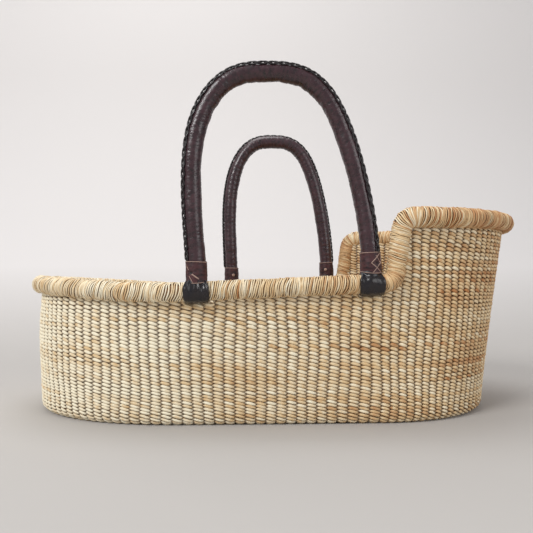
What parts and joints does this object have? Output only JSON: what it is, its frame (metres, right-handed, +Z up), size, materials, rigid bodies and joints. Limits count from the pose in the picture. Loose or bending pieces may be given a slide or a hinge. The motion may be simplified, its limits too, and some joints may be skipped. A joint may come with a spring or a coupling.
{
  "type": "moses basket",
  "caption": "Oval twined grass baby basket with a raised head end, thick wrapped rim and leather-covered carrying handles that swing about the rim.",
  "frame": {"origin": "middle of the floor's underside, on the surface the basket stands on", "axes": "+X towards the raised head end, +Y to the back long side, +Z up"},
  "size_m": [0.765, 0.4316, 0.491],
  "materials": {
    "grass_weave": "twined dry grass, matt",
    "grass_stake": "dry grass stalks, matt",
    "grass_bundle": "bundled grass, matt",
    "grass_wrap": "grass wound round, satin",
    "brown_leather": "dark brown goat leather, satin",
    "leather_plait": "plaited thong, satin",
    "cuff_leather": "reddish brown leather, stitched",
    "thong": "pale thread, matt",
    "black_leather": "near-black gathered leather, satin"
  },
  "bodies": {
    "basket": {"floor_weave": "grass_weave", "floor_stakes": "grass_stake", "wall_weave": "grass_weave", "wall_stakes": "grass_stake", "rim_core": "grass_bundle", "rim_wrap": "grass_wrap"},
    "front_handle": {"front_handle_core": "grass_bundle", "front_handle_cover": "brown_leather", "front_handle_plait": "leather_plait", "front_foot_cuff": "cuff_leather", "front_head_cuff": "cuff_leather", "front_foot_thong": "thong", "front_head_thong": "thong", "front_foot_boot": "black_leather", "front_head_boot": "black_leather", "front_foot_loop": "grass_bundle", "front_head_loop": "grass_bundle"},
    "back_handle": {"back_handle_core": "grass_bundle", "back_handle_cover": "brown_leather", "back_handle_plait": "leather_plait", "back_foot_cuff": "cuff_leather", "back_head_cuff": "cuff_leather", "back_foot_thong": "thong", "back_head_thong": "thong", "back_foot_boot": "black_leather", "back_head_boot": "black_leather", "back_foot_loop": "grass_bundle", "back_head_loop": "grass_bundle"}
  },
  "joints": [
    {"name": "front_handle_swing", "type": "hinge", "parent": "basket", "child": "front_handle", "pos_m": [-0.099, -0.199, 0.181], "axis": [0.9991, 0, 0.042], "range_deg": [-38, 80]},
    {"name": "back_handle_swing", "type": "hinge", "parent": "basket", "child": "back_handle", "pos_m": [-0.06, 0.199, 0.18264], "axis": [0.9991, 0, 0.042], "range_deg": [-80, 38]}
  ]
}
